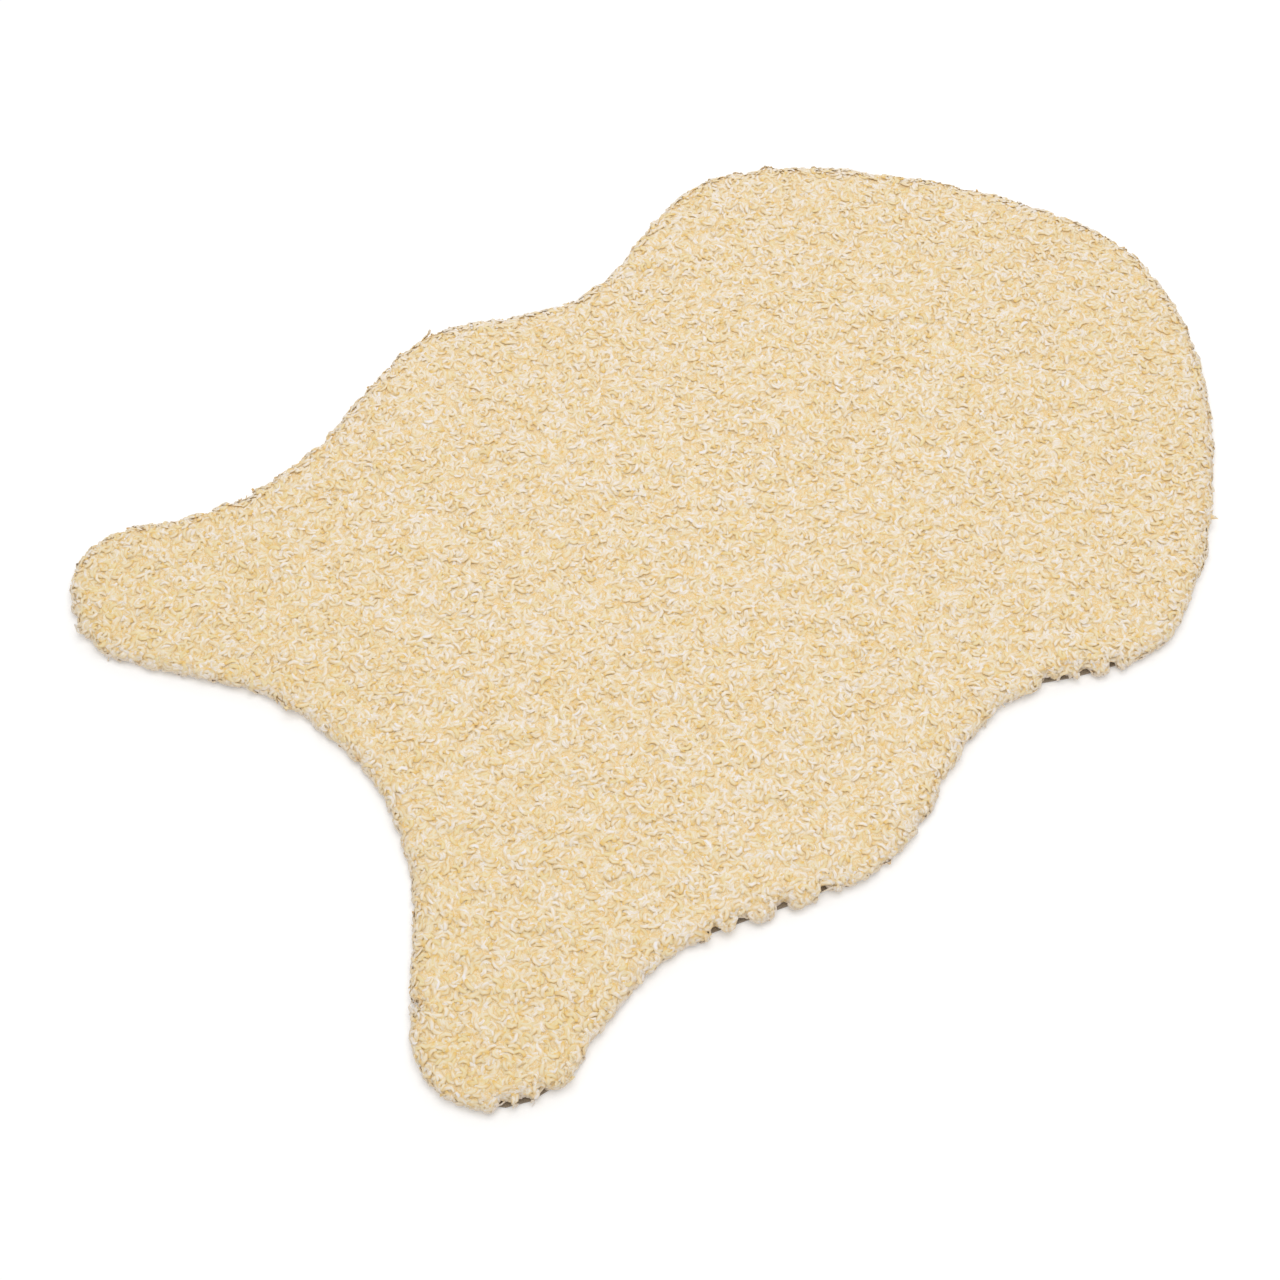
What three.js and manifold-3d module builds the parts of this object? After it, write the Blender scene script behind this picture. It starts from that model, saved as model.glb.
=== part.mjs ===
// A pelt-shaped faux fur rug, lying flat on the floor: a short curly pile on a thin ground cloth.
// Millimetres, +Z up. +Y runs along the rug to its round head end, and +X is to the right of it.
// The origin is on the floor, under the middle of the rug.
import * as THREE from "three";
import { mergeVertices } from "three/addons/utils/BufferGeometryUtils.js";
import Module from "manifold-3d";

const wasm = await Module();
wasm.setup();

// Outline over the pile. Each row is a place on the edge, how far it lies along the rug, and how far
// the edge reaches to the right and to the left of the middle there.
const OUTLINE = [
  { place: "head", along: 425, right: 0, left: 0 },
  { place: "crown", along: 414, right: 60, left: 54 },
  { place: "brow", along: 380, right: 125, left: 117 },
  { place: "temple", along: 320, right: 194, left: 193 },
  { place: "shoulder top", along: 250, right: 249, left: 254 },
  { place: "shoulder", along: 185, right: 274, left: 275 },
  { place: "shoulder foot", along: 130, right: 261, left: 261 },
  { place: "neck", along: 90, right: 243, left: 247 },
  { place: "waist", along: 52, right: 240, left: 240 },
  { place: "waist foot", along: 10, right: 251, left: 251 },
  { place: "flank top", along: -35, right: 271, left: 273 },
  { place: "flank", along: -88, right: 282, left: 284 },
  { place: "flank foot", along: -145, right: 272, left: 267 },
  { place: "thigh top", along: -195, right: 257, left: 250 },
  { place: "thigh", along: -250, right: 244, left: 243 },
  { place: "thigh foot", along: -310, right: 256, left: 254 },
  { place: "ankle", along: -362, right: 274, left: 277 },
  { place: "foot", along: -400, right: 262, left: 268 },
  { place: "toe", along: -425, right: 215, left: 215 },
  { place: "toe inside", along: -404, right: 168, left: 168 },
  { place: "hem foot", along: -370, right: 124, left: 126 },
  { place: "hem side", along: -343, right: 82, left: 83 },
  { place: "hem", along: -326, right: 0, left: 0 },
];
const EDGE_STEPS = 136; // points round the edge

// Ground cloth
const CLOTH_THICKNESS = 1.6;
const CLOTH_INSET = 6; // the pile overhangs the cut edge of the cloth by this much

// Pile
const SEAT_GAP = 0.3; // between the cloth and the pile that stands on it
const PILE_TOP = 16.5; // mean height of the pile over the floor
const TUFT_PITCH = 17; // from the crown of one tuft to the dip beside it
const TUFT_CROWN = 1.6; // the most that a crown rises above the mean height
const TUFT_DIP = 2; // the most that a dip falls below it
const TUFT_DRIFT = 4; // how far a crown or dip strays from its even place
const BLOCK_MARGIN = 20; // how far the tufted block reaches past the rug on each side

const RIM_UNEVENNESS = 1.8; // the most that a point of the pile's side strays in or out

// Side of the pile from its foot to its top: how far inside the outline, and how high over the floor
const PILE_SIDE = [
  { inset: 5, height: CLOTH_THICKNESS + SEAT_GAP },
  { inset: 1.5, height: 5 },
  { inset: 1.5, height: 10 },
  { inset: 5, height: 14.5 },
  { inset: 12, height: 19 },
];

// Locks that curl out of the rim
const RIM_LOCKS = 144;
const LOCK = {
  sides: 4,
  steps: 2,
  length: { least: 9, most: 14 },
  rootRadius: { least: 3.4, most: 4.8 },
  tipShare: 0.5, // the tip's radius over the root's
  bend: { least: 0.7, most: 1.7 }, // radians from root to tip
  rootInset: 5.5, // how far inside the outline its root is
  rootHeight: { least: 7.5, most: 12 },
  rise: { least: -0.1, most: 0.3 }, // radians above level at the root
  swing: 0.8, // radians to either side of straight out
  stray: 0.4, // to either side of its even place, over the spacing
};

const CREAM = new THREE.Color(0.83, 0.7, 0.48);
const TAUPE = new THREE.Color(0.36, 0.3, 0.24);

// A number from 0 to 1 that looks like chance and is always the same for the same pair of numbers.
function chance(a, b) {
  const wave = Math.sin(a * 12.9898 + b * 78.233) * 43758.5453;
  return wave - Math.floor(wave);
}

function between(range, share) {
  return range.least + (range.most - range.least) * share;
}

// The outline as one closed curve, from the head down the left side, over the hem and up the right.
function makeEdgeCurve() {
  const leftSide = OUTLINE.map((row) => new THREE.Vector3(-row.left, row.along, 0));
  const rightSide = OUTLINE.slice(1, -1).map((row) => new THREE.Vector3(row.right, row.along, 0));
  return new THREE.CatmullRomCurve3([...leftSide, ...rightSide.reverse()], true);
}

const edgeCurve = makeEdgeCurve();

// The place at a share of the way round the edge, and the direction straight out of the rug there.
function edgeAt(share) {
  const tangent = edgeCurve.getTangentAt(share);
  return {
    place: edgeCurve.getPointAt(share),
    out: new THREE.Vector3(tangent.y, -tangent.x, 0),
  };
}

// The outline as points, each drawn in by the inset that the function gives for it.
function insetOutline(insetOf) {
  return Array.from({ length: EDGE_STEPS }, (_, i) => {
    const { place, out } = edgeAt(i / EDGE_STEPS);
    return new THREE.Vector2(place.x, place.y).addScaledVector(out, -insetOf(i));
  });
}

function toSolid(geometry) {
  geometry.deleteAttribute("normal");
  geometry.deleteAttribute("uv");
  const merged = mergeVertices(geometry, 1e-4);
  return new wasm.Manifold(
    new wasm.Mesh({
      numProp: 3,
      vertProperties: new Float32Array(merged.attributes.position.array),
      triVerts: new Uint32Array(merged.index.array),
    }),
  );
}

function toGeometry(solid) {
  const mesh = solid.getMesh();
  const geometry = new THREE.BufferGeometry();
  geometry.setAttribute("position", new THREE.BufferAttribute(mesh.vertProperties, 3));
  geometry.setIndex(new THREE.BufferAttribute(mesh.triVerts, 1));
  geometry.computeVertexNormals();
  return geometry;
}

// Ground cloth: one flat piece, cut to the rug's outline.
function makeGroundCloth() {
  const shape = new THREE.Shape(insetOutline(() => CLOTH_INSET));
  const cloth = new THREE.Mesh(
    new THREE.ExtrudeGeometry(shape, { depth: CLOTH_THICKNESS, bevelEnabled: false }),
    new THREE.MeshStandardMaterial({ color: TAUPE, roughness: 0.95, metalness: 0 }),
  );
  cloth.name = "ground_cloth";
  return cloth;
}

// The body of the pile: a ring of points for each row of its side, closed by a lid above and below.
function makePileBody() {
  const rings = PILE_SIDE.map((row, level) =>
    insetOutline((i) => row.inset + RIM_UNEVENNESS * (2 * chance(i, level) - 1)),
  );
  const positions = rings.flatMap((ring, level) =>
    ring.flatMap((point) => [point.x, point.y, PILE_SIDE[level].height]),
  );
  const faces = [];
  for (let level = 0; level < rings.length - 1; level++) {
    for (let i = 0; i < EDGE_STEPS; i++) {
      const below = level * EDGE_STEPS + i;
      const belowNext = level * EDGE_STEPS + ((i + 1) % EDGE_STEPS);
      const above = below + EDGE_STEPS;
      const aboveNext = belowNext + EDGE_STEPS;
      faces.push(below, belowNext, above, above, belowNext, aboveNext);
    }
  }
  for (const [a, b, c] of THREE.ShapeUtils.triangulateShape(rings[0], [])) {
    faces.push(a, c, b);
  }
  const top = (rings.length - 1) * EDGE_STEPS;
  for (const [a, b, c] of THREE.ShapeUtils.triangulateShape(rings.at(-1), [])) {
    faces.push(top + a, top + b, top + c);
  }
  const geometry = new THREE.BufferGeometry();
  geometry.setAttribute("position", new THREE.Float32BufferAttribute(positions, 3));
  geometry.setIndex(faces);
  return toSolid(geometry);
}

// A block whose top is tufts: crowns and dips by turns, each of its own height and a little astray.
function makeTuftedBlock() {
  const places = OUTLINE.map((row) => row.along);
  const reaches = OUTLINE.flatMap((row) => [row.right, row.left]);
  const width = 2 * (Math.max(...reaches) + BLOCK_MARGIN);
  const length = 2 * (Math.max(...places) + BLOCK_MARGIN);
  const columns = Math.round(width / TUFT_PITCH);
  const rows = Math.round(length / TUFT_PITCH);
  const block = new THREE.BoxGeometry(width, length, PILE_TOP, columns, rows, 1);
  block.translate(0, 0, PILE_TOP / 2);
  const points = block.attributes.position;
  for (let i = 0; i < points.count; i++) {
    if (points.getZ(i) < PILE_TOP / 2) continue;
    const column = Math.round((points.getX(i) / width + 0.5) * columns);
    const row = Math.round((points.getY(i) / length + 0.5) * rows);
    const isCrown = (column + row) % 2 === 0;
    const lift = (isCrown ? TUFT_CROWN : -TUFT_DIP) * chance(column, row);
    points.setXYZ(
      i,
      points.getX(i) + TUFT_DRIFT * (2 * chance(column + 0.5, row) - 1),
      points.getY(i) + TUFT_DRIFT * (2 * chance(column, row + 0.5) - 1),
      PILE_TOP + lift,
    );
  }
  return toSolid(block);
}

// One lock, a tapered square stem bent along an arc: its root is at the origin and it leaves along +Y.
function makeLock(length, rootRadius, bend) {
  const tipRadius = rootRadius * LOCK.tipShare;
  const lock = new THREE.CylinderGeometry(tipRadius, rootRadius, length, LOCK.sides, LOCK.steps);
  lock.translate(0, length / 2, 0);
  const arcRadius = length / bend;
  const points = lock.attributes.position;
  for (let i = 0; i < points.count; i++) {
    const angle = points.getY(i) / arcRadius;
    const radius = arcRadius - points.getX(i);
    points.setXYZ(i, arcRadius - radius * Math.cos(angle), radius * Math.sin(angle), points.getZ(i));
  }
  return lock;
}

// All the locks of the rim, each with its root inside the pile and its own length, bend and heading.
function makeRimLocks() {
  return Array.from({ length: RIM_LOCKS }, (_, i) => {
    const stray = LOCK.stray * (2 * chance(i, 1) - 1);
    const { place, out } = edgeAt((i + 0.5 + stray) / RIM_LOCKS);
    const lock = makeLock(
      between(LOCK.length, chance(i, 2)),
      between(LOCK.rootRadius, chance(i, 3)),
      between(LOCK.bend, chance(i, 4)),
    );
    const bendsLeft = chance(i, 5) < 0.5;
    lock.rotateY(bendsLeft ? Math.PI : 0);
    lock.rotateX(between(LOCK.rise, chance(i, 6)));
    lock.rotateZ(Math.atan2(-out.x, out.y) + LOCK.swing * (2 * chance(i, 7) - 1));
    lock.translate(
      place.x - out.x * LOCK.rootInset,
      place.y - out.y * LOCK.rootInset,
      between(LOCK.rootHeight, chance(i, 8)),
    );
    return toSolid(lock);
  });
}

// Curly pile: the tufted slab and the locks of its rim, as one solid.
function makeCurlyPile() {
  const slab = makePileBody().intersect(makeTuftedBlock());
  const pile = new THREE.Mesh(
    toGeometry(wasm.Manifold.union([slab, ...makeRimLocks()])),
    new THREE.MeshStandardMaterial({ color: CREAM, roughness: 0.9, metalness: 0 }),
  );
  pile.name = "curly_pile";
  return pile;
}

const rug = new THREE.Group();
rug.add(makeGroundCloth(), makeCurlyPile());

export default rug;
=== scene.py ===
import math

import bpy
import numpy as np
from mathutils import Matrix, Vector
from mathutils.bvhtree import BVHTree
from mathutils.kdtree import KDTree


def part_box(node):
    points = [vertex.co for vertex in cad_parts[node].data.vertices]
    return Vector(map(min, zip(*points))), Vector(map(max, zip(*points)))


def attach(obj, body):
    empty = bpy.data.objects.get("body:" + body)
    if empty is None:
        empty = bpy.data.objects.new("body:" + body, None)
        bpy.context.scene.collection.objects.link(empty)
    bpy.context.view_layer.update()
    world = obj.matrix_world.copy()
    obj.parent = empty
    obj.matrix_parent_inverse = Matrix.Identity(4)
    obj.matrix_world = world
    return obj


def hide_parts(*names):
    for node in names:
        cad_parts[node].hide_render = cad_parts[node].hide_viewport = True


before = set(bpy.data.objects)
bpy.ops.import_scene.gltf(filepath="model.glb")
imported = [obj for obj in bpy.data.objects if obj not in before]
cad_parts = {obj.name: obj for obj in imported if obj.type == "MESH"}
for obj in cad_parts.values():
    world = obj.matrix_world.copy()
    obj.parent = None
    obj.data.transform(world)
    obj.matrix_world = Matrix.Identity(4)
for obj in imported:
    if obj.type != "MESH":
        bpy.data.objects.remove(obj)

bpy.ops.object.select_all(action="DESELECT")
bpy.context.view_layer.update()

# Camera: it looks down on the rug from beside its right leg, across to its left shoulder. So the rug's long
# side runs from the lower left of the picture to the upper right, as in the photograph.
CAMERA_PLACE = (0.7242, -0.6442, 1.4784)
CAMERA_TILT_DOWN = 59.335  # degrees below the horizon
CAMERA_TURN = 52.03  # degrees from +Y towards -X
CAMERA_SENSOR = 36.0  # millimetres
CAMERA_FOCAL_PIXELS = 2350.0
PHOTO_PIXELS = 1280.0

bpy.ops.object.camera_add(
    location=CAMERA_PLACE,
    rotation=(math.radians(90 - CAMERA_TILT_DOWN), 0, math.radians(CAMERA_TURN)),
)
camera = bpy.context.object
camera.name = "camera"
camera.data.sensor_width = CAMERA_SENSOR
camera.data.lens = CAMERA_SENSOR * CAMERA_FOCAL_PIXELS / PHOTO_PIXELS
bpy.context.scene.camera = camera

# Ground cloth: a thin warp-knitted polyester cloth in taupe, cut to the outline of a pelt with no hem. The
# fur is knitted into it, so it shows only as a thin dark edge where the fur at the rim stands open.
MERGE_WITHIN = 1e-5
FLAT_WITHIN = 0.5  # degrees between two faces that are made one
CLOTH_EDGE_ROUNDING = 0.0004
CLOTH_RIB_PITCH = 0.0016  # from one knitted rib to the next, across the rug
CLOTH_ROW_PITCH = 0.00128  # from one row of stitches to the next, along it
KNIT_SHADE_SHOWN = 0.5  # how strongly the knit's hollows are painted darker in the cloth's colour, as shade
CLOTH_TAUPE = (0.38, 0.31, 0.235, 1)
# painted shade: the cloth's colour in the knit's hollows
CLOTH_TAUPE_SHADE = (0.20, 0.165, 0.125, 1)


def copy_of_solid(node, name):
    """A new piece with the node's own shape, its loose triangles merged and its flat faces whole."""
    piece = bpy.data.objects.new(name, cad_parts[node].data.copy())
    bpy.context.collection.objects.link(piece)
    bpy.context.view_layer.objects.active = piece
    piece.select_set(True)
    piece.data.materials.clear()
    bpy.ops.mesh.customdata_custom_splitnormals_clear()
    bpy.ops.object.mode_set(mode="EDIT")
    bpy.ops.mesh.select_all(action="SELECT")
    bpy.ops.mesh.remove_doubles(threshold=MERGE_WITHIN)
    bpy.ops.mesh.dissolve_limited(angle_limit=math.radians(FLAT_WITHIN))
    bpy.ops.object.mode_set(mode="OBJECT")
    return piece


def finish_piece(piece, material):
    """The finished piece gets its material, rides with the rug and is left unselected."""
    piece.data.materials.clear()
    piece.data.materials.append(material)
    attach(piece, "root")
    piece.select_set(False)


def new_material(name):
    """A new material, the tree of its nodes and the shader that they feed."""
    material = bpy.data.materials.new(name)
    material.use_nodes = True
    tree = material.node_tree
    return material, tree, tree.nodes["Principled BSDF"]


def feed(tree, socket, value):
    """The input takes the value, or is linked to it where it is another node's output."""
    if isinstance(value, bpy.types.NodeSocket):
        tree.links.new(value, socket)
    else:
        socket.default_value = value


def set_node(tree, node, **values):
    """The node's properties and inputs by name: the spaces of an input's name are written as underscores."""
    for key, value in values.items():
        name = key.replace("_", " ")
        if name in node.inputs:
            feed(tree, node.inputs[name], value)
        else:
            setattr(node, key, value)
    return node


def add_node(tree, kind, **values):
    return set_node(tree, tree.nodes.new(kind), **values)


def calculate(tree, operation, *values):
    """The result of one calculation with numbers or other nodes' outputs."""
    node = add_node(tree, "ShaderNodeMath", operation=operation)
    for socket, value in zip(node.inputs, values):
        feed(tree, socket, value)
    return node.outputs[0]


def mix_colours(tree, share, first, second):
    """The first colour where the share is nought, and the second where it is one."""
    node = add_node(tree, "ShaderNodeMix", data_type="RGBA")
    for number, value in ((0, share), (6, first), (7, second)):
        feed(tree, node.inputs[number], value)
    return node.outputs[2]


def wave_scale(pitch):
    """The scale that repeats a wave texture once in the pitch: scale 1 has 10 / pi waves to a metre."""
    return math.pi / pitch / 10


def make_cloth_material():
    material, tree, shader = new_material("taupe ground cloth")
    place = add_node(tree, "ShaderNodeTexCoord").outputs["Object"]
    ribs = add_node(
        tree,
        "ShaderNodeTexWave",
        wave_type="BANDS",
        bands_direction="X",
        Vector=place,
        Scale=wave_scale(CLOTH_RIB_PITCH),
        Distortion=0.6,
        Detail=1.0,
        Detail_Scale=4.0,
    )
    rows = add_node(
        tree,
        "ShaderNodeTexWave",
        wave_type="BANDS",
        bands_direction="Y",
        Vector=place,
        Scale=wave_scale(CLOTH_ROW_PITCH),
    )
    fluff = add_node(tree, "ShaderNodeTexNoise", Vector=place, Scale=900.0, Detail=3.0)
    # The cloth is painted the darker taupe where the knit dips, as the shade in its hollows; the fluff noise
    # adds random tone.
    knit = calculate(tree, "MULTIPLY", ribs.outputs["Fac"], rows.outputs["Fac"])
    paleness = calculate(tree, "MULTIPLY_ADD", knit, KNIT_SHADE_SHOWN, fluff.outputs["Fac"])
    bump = add_node(tree, "ShaderNodeBump", Strength=0.6, Distance=0.0004, Height=knit)
    set_node(
        tree,
        shader,
        Base_Color=mix_colours(tree, paleness, CLOTH_TAUPE_SHADE, CLOTH_TAUPE),
        Roughness=0.95,
        Normal=bump.outputs["Normal"],
    )
    return material


cloth = copy_of_solid("ground_cloth", "ground_cloth_knit")
bevel = cloth.modifiers.new("soft cut edge", "BEVEL")
bevel.width = CLOTH_EDGE_ROUNDING
bevel.segments = 2
bevel.limit_method = "ANGLE"
bpy.ops.object.modifier_apply(modifier=bevel.name)
finish_piece(cloth, make_cloth_material())
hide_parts("ground_cloth")

# Undercoat: the dense lower half of the fur, honey coloured, which shows between the curls. Amber is painted
# into it as the warm shade deep in the gaps, most where its bump dips. It is the tufted body of the pile,
# felted together, a little lower and narrower than the curls that stand out of it.
UNDERCOAT_CELL = 0.00355
UNDERCOAT_REACH = 0.0045  # beyond the cut edge of the cloth, where the locks of the rim are melted back
UNDERCOAT_MELT = 10  # rounds of smoothing
UNDERCOAT_DEPTH = 0.0026  # below the tips of the curls
UNDERCOAT_FOOT = (0.003, 0.007)  # as wide as the solid below the first height, drawn in above the second
UNDERCOAT_LUMP = 0.010
UNDERCOAT_RELIEF = 0.0012
UNDERCOAT_HONEY = (0.95, 0.85, 0.64, 1)
UNDERCOAT_AMBER_SHADE = (0.91, 0.61, 0.235, 1)
AMBER_TO_HONEY = (0.35, 0.65)  # values of the fibres' noise, from the painted amber shade to the honey
RIM_BUMP = 0.013  # from one bump of the rim to the next
RIM_BUMP_SEED = 5
RIM_UNEVENNESS = 0.55  # the most that a bump changes the overhang, as a share of it
RIM_SPREAD = 0.0046  # how much farther the felted fur hangs over the cut edge than the solid's
RIM_SPREAD_WIDTH = 0.005  # across the rim, from no spread to the whole of it
RIM_SPREAD_HEIGHTS = (0.0005, 0.0075)  # none below the first, full above the second
OPEN_PLACES = (  # where the rim's fur stands open and the cloth's cut edge shows: x, y and reach round it
    (0.263, -0.397, 0.0070), (0.269, -0.384, 0.0075), (0.272, -0.369, 0.0070), (0.248, -0.209, 0.0065),
    (0.256, -0.189, 0.0075), (0.265, -0.162, 0.0080), (0.274, -0.131, 0.0070), (0.244, 0.103, 0.0080),
    (0.251, 0.115, 0.0080), (0.259, 0.128, 0.0080), (0.266, 0.148, 0.0060), (0.166, -0.403, 0.0045),
)
OPEN_DEPTH = 0.0034  # how far inside the cut edge the fur starts there
UPRIGHT = 0.2  # a face is upright when its normal rises or falls less than this
FACING_DOWN = -0.99  # and faces the floor when its normal falls more than this
PATCH_WAVES = 14  # soft patches are this many waves laid over one another
PATCH_SHORTEST = 0.7  # the shortest of them, as a share of the patches' size
PATCH_RANGE = 1.2  # how much longer the longest is
PATCH_FULL = 4  # waves that make a patch full when they meet


def ramp(tree, value, start, end, low=0.0, high=1.0, interpolation="LINEAR"):
    """It goes from low to high while the value goes from start to end."""
    node = add_node(
        tree,
        "ShaderNodeMapRange",
        interpolation_type=interpolation,
        Value=value,
        From_Min=start,
        From_Max=end,
        To_Min=low,
        To_Max=high,
    )
    return node.outputs["Result"]


def make_undercoat_material():
    material, tree, shader = new_material("honey undercoat")
    place = add_node(tree, "ShaderNodeTexCoord").outputs["Object"]
    noise = add_node(tree, "ShaderNodeTexNoise", Vector=place, Scale=420.0, Detail=3.0, Distortion=2.4)
    fibres = noise.outputs["Fac"]
    bump = add_node(tree, "ShaderNodeBump", Strength=0.8, Distance=0.0008, Height=fibres)
    # Amber, where the noise is low and the bump dips, is painted warm shade deep in the gaps between the
    # curls.
    set_node(
        tree,
        shader,
        Base_Color=mix_colours(tree, ramp(tree, fibres, *AMBER_TO_HONEY), UNDERCOAT_AMBER_SHADE, UNDERCOAT_HONEY),
        Roughness=0.85,
        Normal=bump.outputs["Normal"],
    )
    return material


def apply_modifiers(piece):
    bpy.context.view_layer.objects.active = piece
    for modifier in list(piece.modifiers):
        bpy.ops.object.modifier_apply(modifier=modifier.name)


def felt(piece):
    """The piece becomes one skin of even cells."""
    remesh = piece.modifiers.new("felt", "REMESH")
    remesh.mode = "VOXEL"
    remesh.voxel_size = UNDERCOAT_CELL
    apply_modifiers(piece)


def cut_edge_of(piece):
    """The upright walls of the piece, to find the nearest place of its cut edge."""
    corners = [vertex.co for vertex in piece.data.vertices]
    walls = [list(face.vertices) for face in piece.data.polygons if abs(face.normal.z) < UPRIGHT]
    return BVHTree.FromPolygons(corners, walls)


CLOTH_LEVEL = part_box("ground_cloth")[1].z / 2
cut_edge = cut_edge_of(cloth)


def beyond_cut_edge(point):
    """How far the point lies beyond the cloth's cut edge, and the way outwards there."""
    edge, outward, _, _ = cut_edge.find_nearest((point.x, point.y, CLOTH_LEVEL))
    return (point - edge).dot(outward), outward


def melt_locks(piece):
    """Points that lie far outside the cloth's cut edge come back towards it."""
    for vertex in piece.data.vertices:
        beyond, outward = beyond_cut_edge(vertex.co)
        if beyond > UNDERCOAT_REACH:
            vertex.co -= outward * (beyond - UNDERCOAT_REACH)


def even_field(places, size, seed):
    """Soft patches of about the given size, from -1 to 1, the same at the same place each time."""
    waves = np.random.default_rng(seed)
    total = np.zeros(len(places))
    for _ in range(PATCH_WAVES):
        angle = waves.random() * 2 * math.pi
        length = size * (PATCH_SHORTEST + PATCH_RANGE * waves.random())
        across = places[:, 0] * math.cos(angle) + places[:, 1] * math.sin(angle)
        total += np.sin(across * 2 * math.pi / length + waves.random() * 2 * math.pi)
    return np.clip(total / PATCH_FULL, -1, 1)


def openness(places):
    """How far the rim stands open at each place: fully, or 1, within half the reach of an open place."""
    feet = np.array([cut_edge.find_nearest((x, y, CLOTH_LEVEL))[0][:2] for x, y, _ in OPEN_PLACES])
    reach = np.array([row[2] for row in OPEN_PLACES])
    distance = np.linalg.norm(places[:, None, :2] - feet[None, :, :], axis=2)
    return np.clip(2 * (1 - distance / reach), 0, 1).max(1)


def shape_rim(piece):
    """The overhang of the rim becomes uneven, and at the open places the fur starts inside the cut edge."""
    places = np.array([vertex.co for vertex in piece.data.vertices])
    bumps = even_field(places, RIM_BUMP, RIM_BUMP_SEED)
    opens = openness(places)
    for vertex, bump, opened in zip(piece.data.vertices, bumps, opens):
        beyond, outward = beyond_cut_edge(vertex.co)
        if beyond < -OPEN_DEPTH:
            continue
        wanted = max(beyond, 0) * (1 + RIM_UNEVENNESS * bump) + min(beyond, 0)
        rise = (vertex.co.z - RIM_SPREAD_HEIGHTS[0]) / (RIM_SPREAD_HEIGHTS[1] - RIM_SPREAD_HEIGHTS[0])
        wanted += RIM_SPREAD * min((beyond + OPEN_DEPTH) / RIM_SPREAD_WIDTH, 1) * min(max(rise, 0), 1)
        wanted += (-OPEN_DEPTH - wanted) * opened
        vertex.co += outward * (wanted - beyond)


def join_foot(piece):
    """The flat foot, which nobody sees, is made one face."""
    bpy.ops.object.mode_set(mode="EDIT")
    bpy.ops.mesh.select_all(action="DESELECT")
    bpy.ops.object.mode_set(mode="OBJECT")
    for face in piece.data.polygons:
        face.select = face.normal.z < FACING_DOWN
    bpy.ops.object.mode_set(mode="EDIT")
    bpy.ops.mesh.dissolve_faces()
    bpy.ops.object.mode_set(mode="OBJECT")


undercoat = copy_of_solid("curly_pile", "undercoat")
felt(undercoat)
melt_locks(undercoat)
felt(undercoat)
above_foot = undercoat.vertex_groups.new(name="above the foot")
for vertex in undercoat.data.vertices:
    share = (vertex.co.z - UNDERCOAT_FOOT[0]) / (UNDERCOAT_FOOT[1] - UNDERCOAT_FOOT[0])
    above_foot.add([vertex.index], min(max(share, 0), 1), "REPLACE")
melt = undercoat.modifiers.new("melted locks", "SMOOTH")
melt.factor = 0.5
melt.iterations = UNDERCOAT_MELT
melt.use_z = False
lower = undercoat.modifiers.new("below the curls", "DISPLACE")
lower.strength = -UNDERCOAT_DEPTH
lower.mid_level = 0
lumps = undercoat.modifiers.new("lumps", "DISPLACE")
lumps.texture = bpy.data.textures.new("lumps", "CLOUDS")
lumps.texture.noise_scale = UNDERCOAT_LUMP
lumps.strength = UNDERCOAT_RELIEF
lumps.mid_level = 0.5
for modifier in (lower, lumps):
    modifier.vertex_group = above_foot.name
apply_modifiers(undercoat)
shape_rim(undercoat)
join_foot(undercoat)
finish_piece(undercoat, make_undercoat_material())
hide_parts("curly_pile")

# Curls: soft ringlets of acrylic fibre, cream at their tips, with gold painted at their roots and along
# their edges as the warm shade between them. One grows out of each cell of the undercoat, or two where it
# rounds over to the rim, and lies round the middle of a small whorl, as in astrakhan. At the rim itself they
# hang over.
rng = np.random.default_rng(11)
CURL_STATIONS = np.array([0.0, 0.28, 0.58, 0.87, 1.0])  # share of its length
CURL_GIRTH = np.array([0.6, 0.95, 1.0, 0.85, 0.0])  # share of its width
CURL_FLATNESS = 0.25
CURL_ROOT_DEPTH = 0.0008
CURL_KINDS = {  # lengths in metres, angles in degrees
    "top": {
        "width": (0.0025, 0.0038),
        "length": (0.0078, 0.0122),
        "steepness": (3, 18),  # out of the pile at its root
        "droop": (0, 18),  # into the pile at its tip
        "turn": (60, 190),  # from root to tip
    },
    "rim": {
        "width": (0.0028, 0.0042),
        "length": (0.0065, 0.0100),
        "steepness": (4, 24),
        "droop": (10, 60),
        "turn": (90, 220),
    },
    "stray": {
        "width": (0.0009, 0.0014),
        "length": (0.0055, 0.0085),
        "steepness": (45, 80),
        "droop": (50, 100),
        "turn": (20, 90),
    },
}
CURL_LEAST_HEIGHT = (0.0, 0.0004, 0.0005, 0.0004, 0.0001)  # over the undercoat, at each station
CURL_MOST_HEIGHT = (0.0, 0.0013, 0.0019, 0.0016, 0.0009)
CURL_RISE_FADE = 1.3  # how fast its steepness at the root is lost along it
S_CURLS = 0.2  # share that turn one way and then back, as an S
S_TURN = 0.55  # how far those turn, as a share of the others' turn
ROOT_ASTRAY = 0.0009  # of a curl, from the middle of its cell
SECOND_ROOT_ASTRAY = 0.001  # of a cell's second curl, from its first
ROOTS_END = -0.35  # none grow where the undercoat's normal falls more than this
SIDE_SLOPE = 0.55  # the side of the rim, where the normal rises less than this
SHOULDER_SLOPE = 0.75  # the rounding above it, where the normal rises less than this
HANGING_BELOW = 0.0085  # the height under which the curls of the side hang down
HANGING_ASTRAY = 0.8  # radians that they swing to the left or right
STRAY_CURLS = 60
OPEN_BARE_BELOW = 0.0065  # no curls grow lower than this at the open places
WHORL_PITCH = 0.0105
WHORL_CROWN = 0.0010  # the curls at the middle of a whorl stand higher by this
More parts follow.
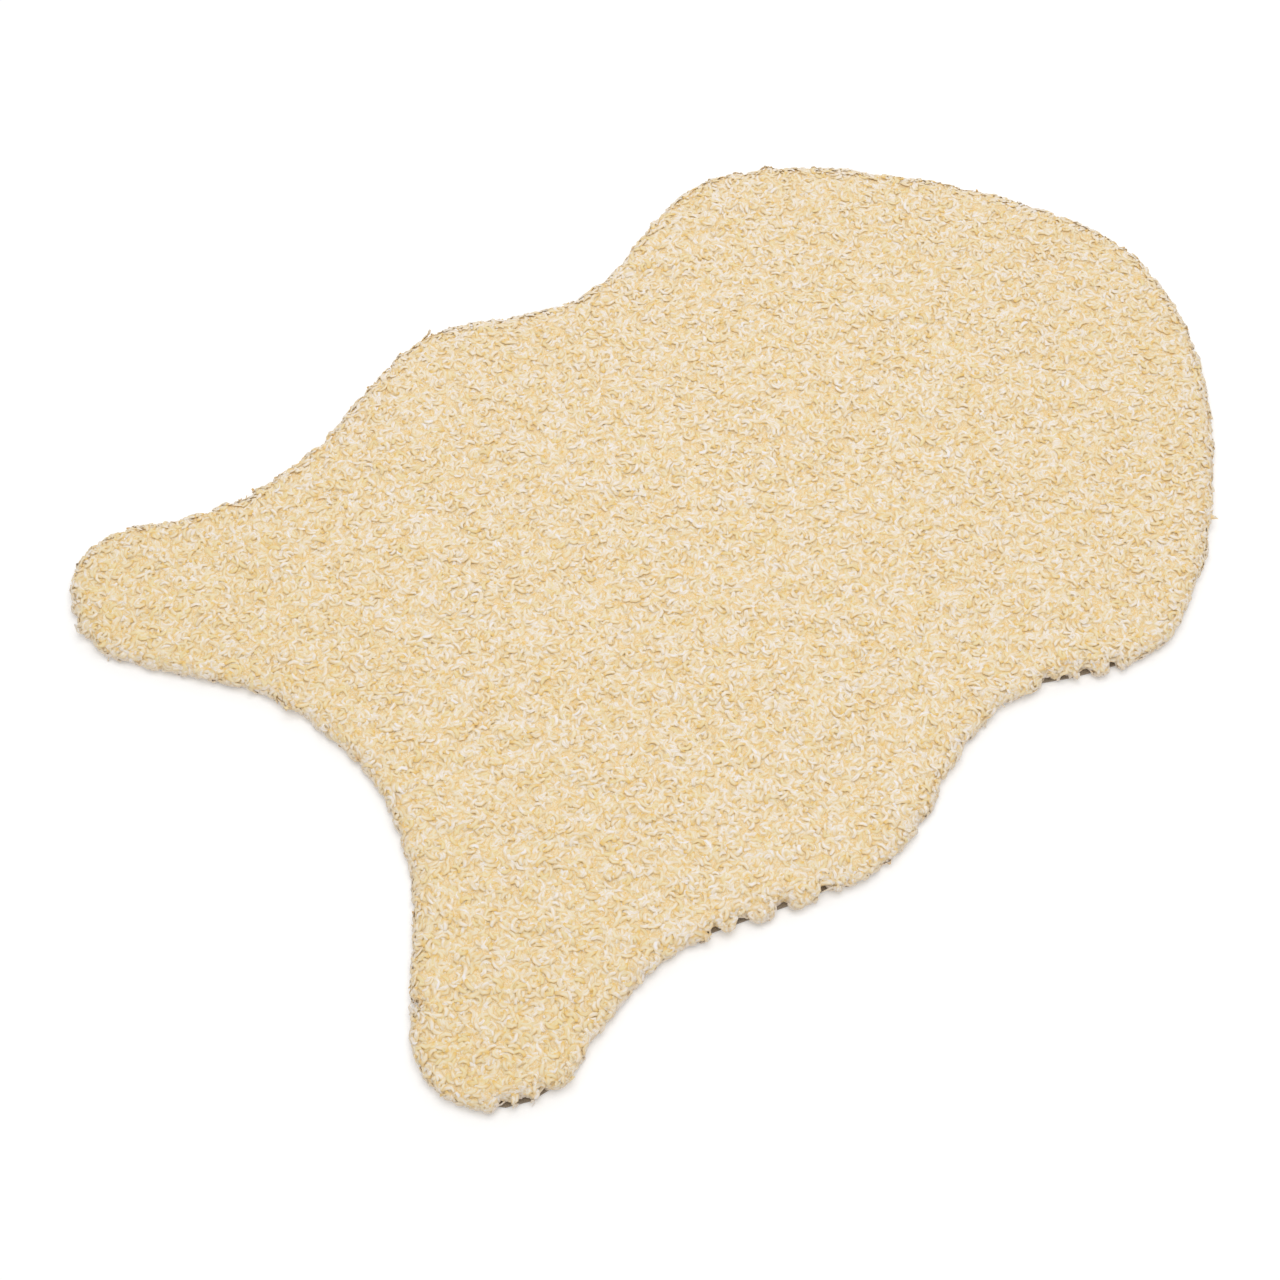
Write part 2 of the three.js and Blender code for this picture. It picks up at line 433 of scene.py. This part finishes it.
WHORL_MIDDLE_ASTRAY = 0.35  # the most that it lies off its row and column, as a share of the pitch
WHORL_CURL_ASTRAY = 0.45  # radians that its curls lie off their ring
STRAGGLERS = 0.22  # share of the curls that keep to no whorl
FLOOR_CLEARANCE = 0.0004
REGIONS_START = -1.0
REGIONS = (  # where along the rug each ends
    ("legs", -0.30),
    ("thighs", -0.14),
    ("flanks", 0.02),
    ("neck", 0.18),
    ("shoulders", 0.30),
    ("head", 1.0),
)
TONE_STEPS = 48  # from the straw curls to the cream ones
TONE_MIDDLE = 0.57
TONE_PATCHES = ((0.16, 0.02, 2), (0.30, 0.008, 3))  # strength, size and seed
TONE_SCATTER = 0.19  # from curl to curl
LEG_STRAW_AND_SHADE = 0.20  # the legs are more straw than cream by this share: partly their own colour, partly painted shade of their deeper relief
LEG_STRAW_FROM = -0.2  # it starts here along the rug
LEG_STRAW_OVER = 0.2  # and is full this much farther on
SHOULDER_CREAM_LIGHT = 0.3  # painted light: the steepest curls above the side are paler, more cream than straw by this share
SHOULDER_CREAM_OVER = 0.3  # of slope, from none of it to the whole
ACROSS_MARGIN = 0.1  # of the width of a tone's column on the curls' map
ALONG_MARGIN = 0.02
CURL_CREAM = (0.95, 0.905, 0.90, 1)
CURL_STRAW = (0.90, 0.77, 0.46, 1)
CURL_GOLD_SHADE = (0.86, 0.56, 0.16, 1)  # painted warm shade at its root and along its two edges
GOLD_ROOT = 0.5  # share of its length over which the painted gold shade fades to its own tone
GOLD_EDGE = 0.42  # the same across it, from its edge at 0 to its ridge at 0.5
GOLD_EDGE_LEAST = 0.08  # how much of its own tone is left at the edge
PALE_EDGE_SHADE = (0.90, 0.74, 0.42, 1)  # the painted edge shade, paler, there on the palest curls
PALE_EDGE_FROM = 0.65  # the tone at which it begins to take the gold's place
STREAK_SHADE = (0.83, 0.64, 0.35, 1)
STREAK_NOISE = (0.42, 0.68)  # values of the fibres' noise, from no streak to a full one
STREAK_STRENGTH = 0.75
STREAKS_ACROSS = 1.9
STREAKS_ALONG = 1.7
RIM_BEIGE_SHADE = (0.79, 0.68, 0.57, 1)  # painted shade of the rim's lower side, towards the floor
RIM_BEIGE_HEIGHTS = (0.004, 0.0135)  # full below the first, none above the second
RIM_BEIGE_STRENGTH = 0.8


def between(low, high, count):
    """As many random numbers from low to high."""
    return low + (high - low) * rng.random(count)


def either_way(count):
    """As many random turns, 1 to the left and -1 to the right."""
    return rng.choice([-1, 1], count)


def unit(vectors):
    return vectors / np.maximum(np.linalg.norm(vectors, axis=-1, keepdims=True), 1e-9)


def cells_of(piece):
    """The middle and normal of each cell of the undercoat that faces up or outwards."""
    count = len(piece.data.polygons)
    middles = np.empty(count * 3)
    normals = np.empty(count * 3)
    piece.data.polygons.foreach_get("center", middles)
    piece.data.polygons.foreach_get("normal", normals)
    middles = middles.reshape(-1, 3)
    normals = normals.reshape(-1, 3)
    shown = normals[:, 2] > ROOTS_END
    return middles[shown], normals[shown]


def make_whorls():
    """The middles of the whorls, a little astray from even rows, and the way that each one turns."""
    low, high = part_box("curly_pile")
    columns = np.arange(low.x, high.x, WHORL_PITCH)
    rows = np.arange(low.y, high.y, WHORL_PITCH)
    middles = np.array([(x, y) for y in rows for x in columns])
    middles[:, 0] += np.repeat(np.arange(len(rows)) % 2, len(columns)) * WHORL_PITCH / 2
    astray = between(-WHORL_MIDDLE_ASTRAY, WHORL_MIDDLE_ASTRAY, middles.size)
    middles += astray.reshape(-1, 2) * WHORL_PITCH
    spins = either_way(len(middles))
    tree = KDTree(len(middles))
    for number, (x, y) in enumerate(middles):
        tree.insert((x, y, 0), number)
    tree.balance()
    return tree, middles, spins


def lie_round_whorls(roots, out):
    """The start direction of each curl round its whorl, the way it turns, and how far off the middle."""
    tree, middles, spins = make_whorls()
    nearest = np.array([tree.find((x, y, 0))[1] for x, y in roots[:, :2]])
    away = roots[:, :2] - middles[nearest]
    spin = spins[nearest]
    straggles = rng.random(len(roots)) < STRAGGLERS
    ring = np.arctan2(away[:, 1], away[:, 0]) + spin * math.pi / 2
    angle = ring + rng.normal(0, WHORL_CURL_ASTRAY, len(roots))
    angle = np.where(straggles, between(0, 2 * math.pi, len(roots)), angle)
    start = np.stack([np.cos(angle), np.sin(angle), np.zeros(len(roots))], 1)
    start = unit(start - out * np.sum(start * out, 1)[:, None])
    spin = np.where(straggles, either_way(len(roots)), spin)
    return start, spin, np.linalg.norm(away, axis=1) / (WHORL_PITCH / 2)


def hang_over_rim(out):
    """The start direction of each curl of the rim, down its side and a little to the left or right."""
    down = unit(np.array([0, 0, -1.0]) + out * out[:, 2:])
    level = np.cross(out, down)
    astray = rng.normal(0, HANGING_ASTRAY, len(out))[:, None]
    return down * np.cos(astray) + level * np.sin(astray)


def curl_centres(kind, roots, out, start, spin):
    """The line along the middle of each curl, as a point at each station."""
    count = len(roots)
    other = np.cross(out, start)
    length = between(*kind["length"], count)
    steep = np.radians(between(*kind["steepness"], count))
    droop = np.radians(between(*kind["droop"], count))
    turn = np.radians(between(*kind["turn"], count)) * spin
    turns_back = rng.random(count) < S_CURLS
    points = [roots - out * CURL_ROOT_DEPTH]
    for k in range(1, len(CURL_STATIONS)):
        share = (CURL_STATIONS[k] + CURL_STATIONS[k - 1]) / 2
        step = CURL_STATIONS[k] - CURL_STATIONS[k - 1]
        angle = turn * np.where(turns_back, S_TURN * math.sin(2 * math.pi * share), share)
        rise = steep * (1 - share) ** CURL_RISE_FADE - droop * share
        along = np.cos(angle)[:, None] * start + np.sin(angle)[:, None] * other
        direction = along * np.cos(rise)[:, None] + out * np.sin(rise)[:, None]
        points.append(points[-1] + direction * (length * step)[:, None])
    return np.stack(points, 1)


def lay_down(centres, ways_out):
    """Each point of a curl's middle line, but for its root, comes within its bounds over the undercoat."""
    for curl, ways in zip(centres, ways_out):
        for station in range(1, len(CURL_STATIONS)):
            point = Vector(curl[station])
            foot, normal, _, _ = undercoat_skin.find_nearest(point)
            height = (point - foot).dot(normal)
            if height < CURL_LEAST_HEIGHT[station]:
                curl[station] = point + normal * (CURL_LEAST_HEIGHT[station] - height)
            elif height > CURL_MOST_HEIGHT[station]:
                curl[station] = foot + (point - foot).normalized() * CURL_MOST_HEIGHT[station]
            ways[station] = (Vector(ways[station]) + normal).normalized()


def curl_points(kind, centres, ways_out):
    """Three points round each station, and the tip: a soft wedge, flat below and ridged above."""
    count = len(centres)
    along = unit(np.gradient(centres, axis=1))
    across = unit(np.cross(along, ways_out))
    above = np.cross(across, along)
    width = between(*kind["width"], count)[:, None, None] * CURL_GIRTH[None, :, None]
    height = width * CURL_FLATNESS
    left = centres - across * width / 2 - above * height / 3
    ridge = centres + above * height * 2 / 3
    right = centres + across * width / 2 - above * height / 3
    rings = np.stack([left, ridge, right], 2)[:, :-1].reshape(count, -1, 3)
    points = np.concatenate([rings, centres[:, -1:]], 1)
    points[..., 2] = np.maximum(points[..., 2], FLOOR_CLEARANCE)
    return points


def grow(kind_name, roots, out, start, spin):
    """The points of the curls of one kind that grow from the roots."""
    kind = CURL_KINDS[kind_name]
    centres = curl_centres(kind, roots, out, start, spin)
    ways_out = np.repeat(out[:, None, :], len(CURL_STATIONS), 1)
    if kind_name != "stray":
        lay_down(centres, ways_out)
    return curl_points(kind, centres, ways_out)


def curl_faces():
    """The faces of one curl by its points' numbers: the foot, the sides ring by ring and the tip."""
    last = len(CURL_STATIONS) - 2
    tip = 3 * (last + 1)
    faces = [(0, 2, 1)]
    for ring in range(last):
        for corner in range(3):
            here = 3 * ring + corner
            there = 3 * ring + (corner + 1) % 3
            faces.append((here, there, there + 3, here + 3))
    for corner in range(3):
        faces.append((3 * last + corner, 3 * last + (corner + 1) % 3, tip))
    return faces


def map_curls(mesh, corners, tone, per_curl):
    """Each curl is mapped to its tone's column, from edge to edge across and from root to tip along."""
    across = np.append(np.tile([0.0, 0.5, 1.0], per_curl // 3), 0.5)
    along = np.append(np.repeat(CURL_STATIONS[:-1], 3), 1.0)
    column = np.floor(tone * (TONE_STEPS - 1) + 0.5)
    u = (column[:, None] + ACROSS_MARGIN + (1 - 2 * ACROSS_MARGIN) * across[None, :]) / TONE_STEPS
    v = ALONG_MARGIN + (1 - 2 * ALONG_MARGIN) * np.tile(along, (len(tone), 1))
    places = np.stack([u, v], 2).reshape(-1, 2)[corners].astype(np.float32)
    for layer in ("curl", "OFBake"):
        mesh.uv_layers.new(name=layer).uv.foreach_set("vector", places.ravel())


def shade_curls(mesh, count, per_curl):
    """Each curl is smooth over its ridge, flat below, and sharp along its two edges."""
    is_upper = [False] + [corner != 2 for _ in range(len(CURL_STATIONS) - 1) for corner in range(3)]
    mesh.polygons.foreach_set("use_smooth", np.tile(is_upper, count))
    ends = np.empty(len(mesh.edges) * 2, np.int32)
    mesh.edges.foreach_get("vertices", ends)
    ends = ends.reshape(-1, 2) % per_curl
    is_tip = ends == per_curl - 1
    along_left = np.all((ends % 3 == 0) | is_tip, 1)
    along_right = np.all((ends % 3 == 2) | is_tip, 1)
    mesh.edges.foreach_set("use_edge_sharp", along_left | along_right)
    mesh.update()


def add_curls(name, points, tone):
    """One piece with all the curls given."""
    count, per_curl, _ = points.shape
    faces = curl_faces()
    corners = np.array([corner for face in faces for corner in face])
    corners = (corners[None, :] + np.arange(count)[:, None] * per_curl).ravel()
    sizes = np.tile([len(face) for face in faces], count)
    starts = np.concatenate([[0], np.cumsum(sizes)[:-1]])
    mesh = bpy.data.meshes.new(name)
    mesh.vertices.add(count * per_curl)
    mesh.vertices.foreach_set("co", points.ravel())
    mesh.loops.add(len(corners))
    mesh.loops.foreach_set("vertex_index", corners.astype(np.int32))
    mesh.polygons.add(len(starts))
    mesh.polygons.foreach_set("loop_start", starts.astype(np.int32))
    mesh.update(calc_edges=True)
    mesh.validate()
    map_curls(mesh, corners, tone, per_curl)
    shade_curls(mesh, count, per_curl)
    piece = bpy.data.objects.new(name, mesh)
    bpy.context.collection.objects.link(piece)
    return piece


def make_curl_material():
    """Each curl has its own tone, with gold painted at its root and edges as shade, is streaked along, and
    is painted duller beige near the floor as shade.
    """
    material, tree, shader = new_material("cream curls")
    where = add_node(tree, "ShaderNodeUVMap", uv_map="curl").outputs["UV"]
    split = add_node(tree, "ShaderNodeSeparateXYZ", Vector=where)
    tone = split.outputs["X"]
    off_edge = calculate(tree, "PINGPONG", calculate(tree, "MULTIPLY", tone, TONE_STEPS), 0.5)
    # The gold at a curl's edges and root is painted shade of the gaps that it lies in.
    inner = ramp(tree, off_edge, 0.0, GOLD_EDGE, low=GOLD_EDGE_LEAST, interpolation="SMOOTHSTEP")
    grown = ramp(tree, split.outputs["Y"], 0.0, GOLD_ROOT, interpolation="SMOOTHSTEP")
    edge_shade_colour = mix_colours(tree, ramp(tree, tone, PALE_EDGE_FROM, 1.0), CURL_GOLD_SHADE, PALE_EDGE_SHADE)
    tone_colour = mix_colours(tree, tone, CURL_STRAW, CURL_CREAM)
    body = mix_colours(tree, calculate(tree, "MULTIPLY", inner, grown), edge_shade_colour, tone_colour)
    stretch = add_node(
        tree, "ShaderNodeMapping", Vector=where, Scale=(TONE_STEPS * STREAKS_ACROSS, STREAKS_ALONG, 1)
    )
    noise = add_node(tree, "ShaderNodeTexNoise", Vector=stretch.outputs["Vector"], Scale=1.0, Detail=2.0)
    fibres = noise.outputs["Fac"]
    streaked = mix_colours(tree, ramp(tree, fibres, *STREAK_NOISE, high=STREAK_STRENGTH), body, STREAK_SHADE)
    place = add_node(tree, "ShaderNodeTexCoord").outputs["Object"]
    height = add_node(tree, "ShaderNodeSeparateXYZ", Vector=place).outputs["Z"]
    # The curls are painted duller beige towards the floor, as the shade on the rim's lower side.
    floor_shade = ramp(tree, height, RIM_BEIGE_HEIGHTS[1], RIM_BEIGE_HEIGHTS[0], high=RIM_BEIGE_STRENGTH)
    bump = add_node(tree, "ShaderNodeBump", Strength=0.5, Distance=0.0003, Height=fibres)
    set_node(
        tree,
        shader,
        Base_Color=mix_colours(tree, floor_shade, streaked, RIM_BEIGE_SHADE),
        Roughness=0.75,
        Specular_IOR_Level=0.25,
        Sheen_Weight=0.1,
        Sheen_Roughness=0.4,
        Normal=bump.outputs["Normal"],
    )
    return material


undercoat_skin = BVHTree.FromObject(undercoat, bpy.context.evaluated_depsgraph_get())
roots, out = cells_of(undercoat)
roots = roots + rng.normal(0, ROOT_ASTRAY, roots.shape)
opened = openness(roots) > 0.5
bare = opened & (roots[:, 2] < OPEN_BARE_BELOW)
roots, out, opened = roots[~bare], out[~bare], opened[~bare]
at_side = (out[:, 2] < SIDE_SLOPE) & (roots[:, 2] < HANGING_BELOW) & ~opened
at_shoulder = (out[:, 2] < SHOULDER_SLOPE) & ~at_side

second_roots = roots[at_shoulder] + rng.normal(0, SECOND_ROOT_ASTRAY, (at_shoulder.sum(), 3))
top_roots = np.concatenate([roots[~at_side], second_roots])
top_out = np.concatenate([out[~at_side], out[at_shoulder]])
start, spin, off_middle = lie_round_whorls(top_roots, top_out)
crown = WHORL_CROWN * np.clip(1 - off_middle**2, 0, 1)
top_roots = top_roots + top_out * crown[:, None]

rim_roots, rim_out = np.tile(roots[at_side], (2, 1)), np.tile(out[at_side], (2, 1))
rim_roots = rim_roots + rng.normal(0, SECOND_ROOT_ASTRAY, rim_roots.shape)
stray = rng.choice(len(rim_roots), STRAY_CURLS, replace=False)
stray_roots, stray_out = rim_roots[stray], rim_out[stray]
points = np.concatenate([
    grow("top", top_roots, top_out, start, spin),
    grow("rim", rim_roots, rim_out, hang_over_rim(rim_out), either_way(len(rim_roots))),
    grow("stray", stray_roots, stray_out, hang_over_rim(stray_out), either_way(STRAY_CURLS)),
])

roots = np.concatenate([top_roots, rim_roots, stray_roots])
tone = np.full(len(roots), TONE_MIDDLE)
for strength, size, seed in TONE_PATCHES:
    tone += strength * even_field(roots, size, seed)
# Towards the legs the curls are toned darker and more straw: partly their own colour, partly painted shade.
straw = LEG_STRAW_AND_SHADE * np.clip((LEG_STRAW_FROM - roots[:, 1]) / LEG_STRAW_OVER, 0, 1)
tone += rng.normal(0, TONE_SCATTER, len(roots)) - straw
# The rounding of the rim is painted paler, as the light that comes through its fibres.
steepness = np.clip((SHOULDER_SLOPE - top_out[:, 2]) / SHOULDER_CREAM_OVER, 0, 1)
tone[:len(top_roots)] += SHOULDER_CREAM_LIGHT * steepness
tone = np.clip(tone, 0, 1)

curl_material = make_curl_material()
region_start = REGIONS_START
for region, region_end in REGIONS:
    chosen = (roots[:, 1] >= region_start) & (roots[:, 1] < region_end)
    piece = add_curls("curls_" + region, points[chosen], tone[chosen])
    finish_piece(piece, curl_material)
    region_start = region_end

# Floor and light: a plain white studio floor under an even white sky. A wide soft lamp hangs almost over the
# rug, and a weaker one stands low behind its far side, so that the curls keep their relief.
FLOOR_SIZE = 12.0
FLOOR_DROP = 0.0003  # below the cloth's underside, so that the two aren't drawn in one plane
FLOOR_WHITE = (0.95, 0.95, 0.95, 1)
FLOOR_GLOW = 0.15  # it brings the floor up to a pure white
PURE_WHITE = (1, 1, 1, 1)
SKY_STRENGTH = 0.585
LAMP_SIZE = 1.5
LAMPS = (  # name, place and watts
    ("soft lamp", (0.15, -0.1, 2.2), 19.5),
    ("back lamp", (-1.1, 1.0, 1.0), 4.0),
)

bpy.ops.mesh.primitive_plane_add(size=FLOOR_SIZE, location=(0, 0, -FLOOR_DROP))
floor = bpy.context.object
floor.name = "floor"
floor_material, floor_tree, floor_shader = new_material("pale floor")
set_node(
    floor_tree,
    floor_shader,
    Base_Color=FLOOR_WHITE,
    Roughness=1.0,
    Specular_IOR_Level=0.0,
    Emission_Color=PURE_WHITE,
    Emission_Strength=FLOOR_GLOW,
)
floor.data.materials.append(floor_material)
floor.select_set(False)

world = bpy.data.worlds.new("studio")
world.use_nodes = True
world.node_tree.nodes["Background"].inputs["Color"].default_value = PURE_WHITE
world.node_tree.nodes["Background"].inputs["Strength"].default_value = SKY_STRENGTH
bpy.context.scene.world = world

for name, place, watts in LAMPS:
    bpy.ops.object.light_add(type="AREA", location=place)
    lamp = bpy.context.object
    lamp.name = name
    lamp.data.energy = watts
    lamp.data.size = LAMP_SIZE
    lamp.rotation_euler = (-Vector(place)).to_track_quat("-Z", "Y").to_euler()
bpy.context.scene.view_settings.view_transform = "Standard"
